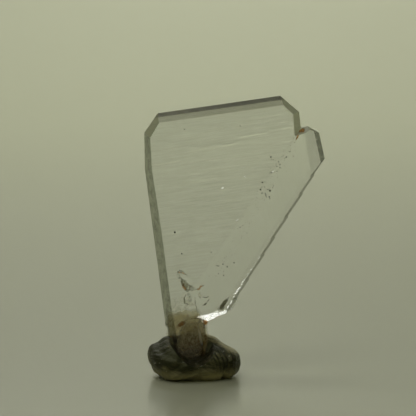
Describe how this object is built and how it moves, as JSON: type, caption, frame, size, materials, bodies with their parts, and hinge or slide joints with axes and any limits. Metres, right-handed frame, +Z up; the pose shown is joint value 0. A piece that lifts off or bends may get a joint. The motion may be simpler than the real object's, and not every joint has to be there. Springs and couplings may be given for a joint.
{
  "type": "japan-law twin quartz specimen",
  "caption": "Flat, water-clear twinned quartz crystal with bevelled edges, stood upright in a pinched lump of dark mineral tack.",
  "frame": {"origin": "on the table, under the middle of the specimen's bounding box", "axes": "+Z up along the specimen's height, +X to the right across the flat crystal plate, +Y through the plate towards its back"},
  "size_m": [0.0246, 0.0108, 0.038],
  "materials": {
    "quartz": "clear rock crystal, natural faces with fine growth striations",
    "tack": "dark mineral tack pinched by hand, dull sheen"
  },
  "bodies": {
    "root": {"twin_crystal": "quartz", "putty_lump": "tack"}
  },
  "joints": []
}
